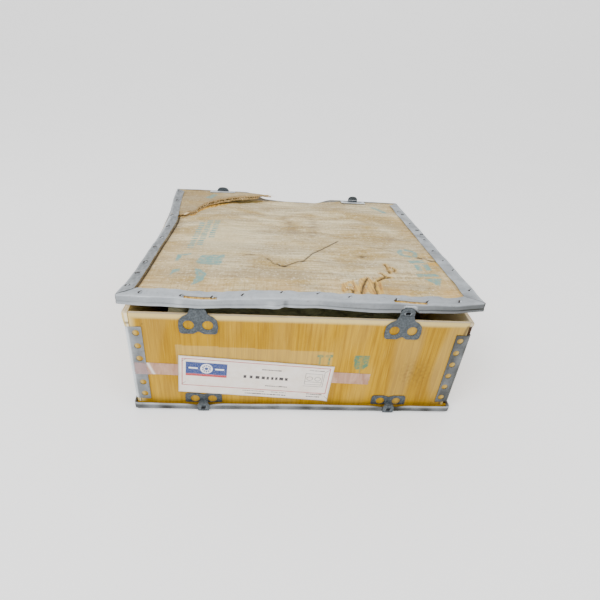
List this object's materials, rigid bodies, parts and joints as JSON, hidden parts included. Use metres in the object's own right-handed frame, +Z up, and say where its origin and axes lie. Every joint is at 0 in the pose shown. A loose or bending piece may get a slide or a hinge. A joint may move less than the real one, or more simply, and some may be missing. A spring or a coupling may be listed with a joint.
{
  "type": "spherical roller bearing in a plywood crate",
  "caption": "Double-row spherical roller bearing with a tapered bore, lying flat in its steel-edged plywood crate whose loose lid is propped open at the front.",
  "frame": {"origin": "centre of the crate's footprint, on the surface that it stands on", "axes": "+Z up, along the bearing's axis; -Y is the front wall with the label; +X is to the right seen from the front"},
  "size_m": [0.4824, 0.4858, 0.1983],
  "materials": {
    "plywood": "honey-coloured plywood, matt, vertical grain on the walls",
    "weathered_plywood": "dusty grey-tan weathered plywood, cracked",
    "rim_steel": "light grey galvanised sheet, dull, dented",
    "clasp_steel": "darker blue-grey mottled sheet steel",
    "label_paper": "off-white printed paper",
    "tape": "translucent pinkish adhesive tape",
    "bearing_steel": "ground bearing steel under a thin film of preservative oil",
    "cage_steel": "dark phosphated pressed sheet steel"
  },
  "bodies": {
    "crate": {"base_panel": "plywood", "base_rim_back": "rim_steel", "base_rim_front": "rim_steel", "base_rim_left": "rim_steel", "base_rim_right": "rim_steel", "clasp_plate_back_left": "clasp_steel", "clasp_plate_back_right": "clasp_steel", "clasp_plate_front_left": "clasp_steel", "clasp_plate_front_right": "clasp_steel", "corner_angle_back_left": "rim_steel", "corner_angle_back_right": "rim_steel", "corner_angle_front_left": "rim_steel", "corner_angle_front_right": "rim_steel", "lower_clasp_back_left": "clasp_steel", "lower_clasp_back_right": "clasp_steel", "lower_clasp_front_left": "clasp_steel", "lower_clasp_front_right": "clasp_steel", "outer_ring": "bearing_steel", "shipping_label": "label_paper", "tape_band": "tape", "wall_back": "plywood", "wall_front": "plywood", "wall_left": "plywood", "wall_right": "plywood"},
    "lid": {"lid_panel": "weathered_plywood", "lid_rim_back": "rim_steel", "lid_rim_front": "rim_steel", "lid_rim_left": "rim_steel", "lid_rim_right": "rim_steel"},
    "inner_ring": {"inner_ring": "bearing_steel"},
    "cage_upper": {"cage_upper": "cage_steel"},
    "cage_lower": {"cage_lower": "cage_steel", "roller_row_lower": "bearing_steel"},
    "guide_ring": {"guide_ring": "bearing_steel"},
    "tongue_back_left": {"tongue_back_left": "clasp_steel"},
    "tongue_back_right": {"tongue_back_right": "clasp_steel"},
    "tongue_front_left": {"tongue_front_left": "clasp_steel"},
    "tongue_front_right": {"tongue_front_right": "clasp_steel"},
    "roller_upper_01": {"roller_upper_01": "bearing_steel"},
    "roller_upper_02": {"roller_upper_02": "bearing_steel"},
    "roller_upper_03": {"roller_upper_03": "bearing_steel"},
    "roller_upper_04": {"roller_upper_04": "bearing_steel"},
    "roller_upper_05": {"roller_upper_05": "bearing_steel"},
    "roller_upper_06": {"roller_upper_06": "bearing_steel"},
    "roller_upper_07": {"roller_upper_07": "bearing_steel"},
    "roller_upper_08": {"roller_upper_08": "bearing_steel"},
    "roller_upper_09": {"roller_upper_09": "bearing_steel"},
    "roller_upper_10": {"roller_upper_10": "bearing_steel"},
    "roller_upper_11": {"roller_upper_11": "bearing_steel"},
    "roller_upper_12": {"roller_upper_12": "bearing_steel"},
    "roller_upper_13": {"roller_upper_13": "bearing_steel"},
    "roller_upper_14": {"roller_upper_14": "bearing_steel"},
    "roller_upper_15": {"roller_upper_15": "bearing_steel"},
    "roller_upper_16": {"roller_upper_16": "bearing_steel"},
    "roller_upper_17": {"roller_upper_17": "bearing_steel"},
    "roller_upper_18": {"roller_upper_18": "bearing_steel"},
    "roller_upper_19": {"roller_upper_19": "bearing_steel"},
    "roller_upper_20": {"roller_upper_20": "bearing_steel"},
    "roller_upper_21": {"roller_upper_21": "bearing_steel"}
  },
  "joints": [
    {"name": "lid_lift", "type": "slide", "parent": "crate", "child": "lid", "axis": [0, 0, 1], "range_m": [0, 0.3]},
    {"name": "tongue_back_left_fold", "type": "hinge", "parent": "crate", "child": "tongue_back_left", "pos_m": [-0.1425, 0.2339, 0.1747], "axis": [1, 0, 0], "range_deg": [-8, 90]},
    {"name": "tongue_back_right_fold", "type": "hinge", "parent": "crate", "child": "tongue_back_right", "pos_m": [0.138, 0.2339, 0.1747], "axis": [1, 0, 0], "range_deg": [-8, 90]},
    {"name": "tongue_front_left_fold", "type": "hinge", "parent": "crate", "child": "tongue_front_left", "pos_m": [-0.1425, -0.2339, 0.1747], "axis": [1, 0, 0], "range_deg": [-90, 8]},
    {"name": "tongue_front_right_fold", "type": "hinge", "parent": "crate", "child": "tongue_front_right", "pos_m": [0.138, -0.2339, 0.1747], "axis": [1, 0, 0], "range_deg": [0, 60]},
    {"name": "inner_ring_spin", "type": "hinge", "parent": "crate", "child": "inner_ring", "pos_m": [0, 0, 0.0824], "axis": [0, 0, 1], "continuous": true},
    {"name": "cage_upper_orbit", "type": "hinge", "parent": "crate", "child": "cage_upper", "pos_m": [0, 0, 0.0824], "axis": [0, 0, 1], "continuous": true},
    {"name": "cage_lower_orbit", "type": "hinge", "parent": "crate", "child": "cage_lower", "pos_m": [0, 0, 0.0824], "axis": [0, 0, 1], "continuous": true},
    {"name": "guide_ring_orbit", "type": "hinge", "parent": "crate", "child": "guide_ring", "pos_m": [0, 0, 0.0824], "axis": [0, 0, 1], "continuous": true},
    {"name": "roller_upper_01_spin", "type": "hinge", "parent": "cage_upper", "child": "roller_upper_01", "pos_m": [0.17779, 0, 0.11632], "axis": [-0.1874, 0, 0.9823], "continuous": true},
    {"name": "roller_upper_02_spin", "type": "hinge", "parent": "cage_upper", "child": "roller_upper_02", "pos_m": [0.16989, 0.05241, 0.11632], "axis": [-0.1791, -0.0552, 0.9823], "continuous": true},
    {"name": "roller_upper_03_spin", "type": "hinge", "parent": "cage_upper", "child": "roller_upper_03", "pos_m": [0.1469, 0.10015, 0.11632], "axis": [-0.1548, -0.1056, 0.9823], "continuous": true},
    {"name": "roller_upper_04_spin", "type": "hinge", "parent": "cage_upper", "child": "roller_upper_04", "pos_m": [0.11085, 0.139, 0.11632], "axis": [-0.1168, -0.1465, 0.9823], "continuous": true},
    {"name": "roller_upper_05_spin", "type": "hinge", "parent": "cage_upper", "child": "roller_upper_05", "pos_m": [0.06495, 0.1655, 0.11632], "axis": [-0.0685, -0.1744, 0.9823], "continuous": true},
    {"name": "roller_upper_06_spin", "type": "hinge", "parent": "cage_upper", "child": "roller_upper_06", "pos_m": [0.01329, 0.1773, 0.11632], "axis": [-0.014, -0.1869, 0.9823], "continuous": true},
    {"name": "roller_upper_07_spin", "type": "hinge", "parent": "cage_upper", "child": "roller_upper_07", "pos_m": [-0.03956, 0.17334, 0.11632], "axis": [0.0417, -0.1827, 0.9823], "continuous": true},
    {"name": "roller_upper_08_spin", "type": "hinge", "parent": "cage_upper", "child": "roller_upper_08", "pos_m": [-0.0889, 0.15397, 0.11632], "axis": [0.0937, -0.1623, 0.9823], "continuous": true},
    {"name": "roller_upper_09_spin", "type": "hinge", "parent": "cage_upper", "child": "roller_upper_09", "pos_m": [-0.13033, 0.12093, 0.11632], "axis": [0.1374, -0.1275, 0.9823], "continuous": true},
    {"name": "roller_upper_10_spin", "type": "hinge", "parent": "cage_upper", "child": "roller_upper_10", "pos_m": [-0.16019, 0.07714, 0.11632], "axis": [0.1688, -0.0813, 0.9823], "continuous": true},
    {"name": "roller_upper_11_spin", "type": "hinge", "parent": "cage_upper", "child": "roller_upper_11", "pos_m": [-0.17581, 0.0265, 0.11632], "axis": [0.1853, -0.0279, 0.9823], "continuous": true},
    {"name": "roller_upper_12_spin", "type": "hinge", "parent": "cage_upper", "child": "roller_upper_12", "pos_m": [-0.17581, -0.0265, 0.11632], "axis": [0.1853, 0.0279, 0.9823], "continuous": true},
    {"name": "roller_upper_13_spin", "type": "hinge", "parent": "cage_upper", "child": "roller_upper_13", "pos_m": [-0.16019, -0.07714, 0.11632], "axis": [0.1688, 0.0813, 0.9823], "continuous": true},
    {"name": "roller_upper_14_spin", "type": "hinge", "parent": "cage_upper", "child": "roller_upper_14", "pos_m": [-0.13033, -0.12093, 0.11632], "axis": [0.1374, 0.1275, 0.9823], "continuous": true},
    {"name": "roller_upper_15_spin", "type": "hinge", "parent": "cage_upper", "child": "roller_upper_15", "pos_m": [-0.0889, -0.15397, 0.11632], "axis": [0.0937, 0.1623, 0.9823], "continuous": true},
    {"name": "roller_upper_16_spin", "type": "hinge", "parent": "cage_upper", "child": "roller_upper_16", "pos_m": [-0.03956, -0.17334, 0.11632], "axis": [0.0417, 0.1827, 0.9823], "continuous": true},
    {"name": "roller_upper_17_spin", "type": "hinge", "parent": "cage_upper", "child": "roller_upper_17", "pos_m": [0.01329, -0.1773, 0.11632], "axis": [-0.014, 0.1869, 0.9823], "continuous": true},
    {"name": "roller_upper_18_spin", "type": "hinge", "parent": "cage_upper", "child": "roller_upper_18", "pos_m": [0.06495, -0.1655, 0.11632], "axis": [-0.0685, 0.1744, 0.9823], "continuous": true},
    {"name": "roller_upper_19_spin", "type": "hinge", "parent": "cage_upper", "child": "roller_upper_19", "pos_m": [0.11085, -0.139, 0.11632], "axis": [-0.1168, 0.1465, 0.9823], "continuous": true},
    {"name": "roller_upper_20_spin", "type": "hinge", "parent": "cage_upper", "child": "roller_upper_20", "pos_m": [0.1469, -0.10015, 0.11632], "axis": [-0.1548, 0.1056, 0.9823], "continuous": true},
    {"name": "roller_upper_21_spin", "type": "hinge", "parent": "cage_upper", "child": "roller_upper_21", "pos_m": [0.16989, -0.05241, 0.11632], "axis": [-0.1791, 0.0552, 0.9823], "continuous": true}
  ],
  "couplings": [
    {"joint": "cage_upper_orbit", "follows": "inner_ring_spin", "ratio": 0.44006},
    {"joint": "cage_lower_orbit", "follows": "inner_ring_spin", "ratio": 0.44006},
    {"joint": "guide_ring_orbit", "follows": "inner_ring_spin", "ratio": 0.44006},
    {"joint": "roller_upper_01_spin", "follows": "inner_ring_spin", "ratio": -4.0377},
    {"joint": "roller_upper_02_spin", "follows": "inner_ring_spin", "ratio": -4.0377},
    {"joint": "roller_upper_03_spin", "follows": "inner_ring_spin", "ratio": -4.0377},
    {"joint": "roller_upper_04_spin", "follows": "inner_ring_spin", "ratio": -4.0377},
    {"joint": "roller_upper_05_spin", "follows": "inner_ring_spin", "ratio": -4.0377},
    {"joint": "roller_upper_06_spin", "follows": "inner_ring_spin", "ratio": -4.0377},
    {"joint": "roller_upper_07_spin", "follows": "inner_ring_spin", "ratio": -4.0377},
    {"joint": "roller_upper_08_spin", "follows": "inner_ring_spin", "ratio": -4.0377},
    {"joint": "roller_upper_09_spin", "follows": "inner_ring_spin", "ratio": -4.0377},
    {"joint": "roller_upper_10_spin", "follows": "inner_ring_spin", "ratio": -4.0377},
    {"joint": "roller_upper_11_spin", "follows": "inner_ring_spin", "ratio": -4.0377},
    {"joint": "roller_upper_12_spin", "follows": "inner_ring_spin", "ratio": -4.0377},
    {"joint": "roller_upper_13_spin", "follows": "inner_ring_spin", "ratio": -4.0377},
    {"joint": "roller_upper_14_spin", "follows": "inner_ring_spin", "ratio": -4.0377},
    {"joint": "roller_upper_15_spin", "follows": "inner_ring_spin", "ratio": -4.0377},
    {"joint": "roller_upper_16_spin", "follows": "inner_ring_spin", "ratio": -4.0377},
    {"joint": "roller_upper_17_spin", "follows": "inner_ring_spin", "ratio": -4.0377},
    {"joint": "roller_upper_18_spin", "follows": "inner_ring_spin", "ratio": -4.0377},
    {"joint": "roller_upper_19_spin", "follows": "inner_ring_spin", "ratio": -4.0377},
    {"joint": "roller_upper_20_spin", "follows": "inner_ring_spin", "ratio": -4.0377},
    {"joint": "roller_upper_21_spin", "follows": "inner_ring_spin", "ratio": -4.0377}
  ]
}
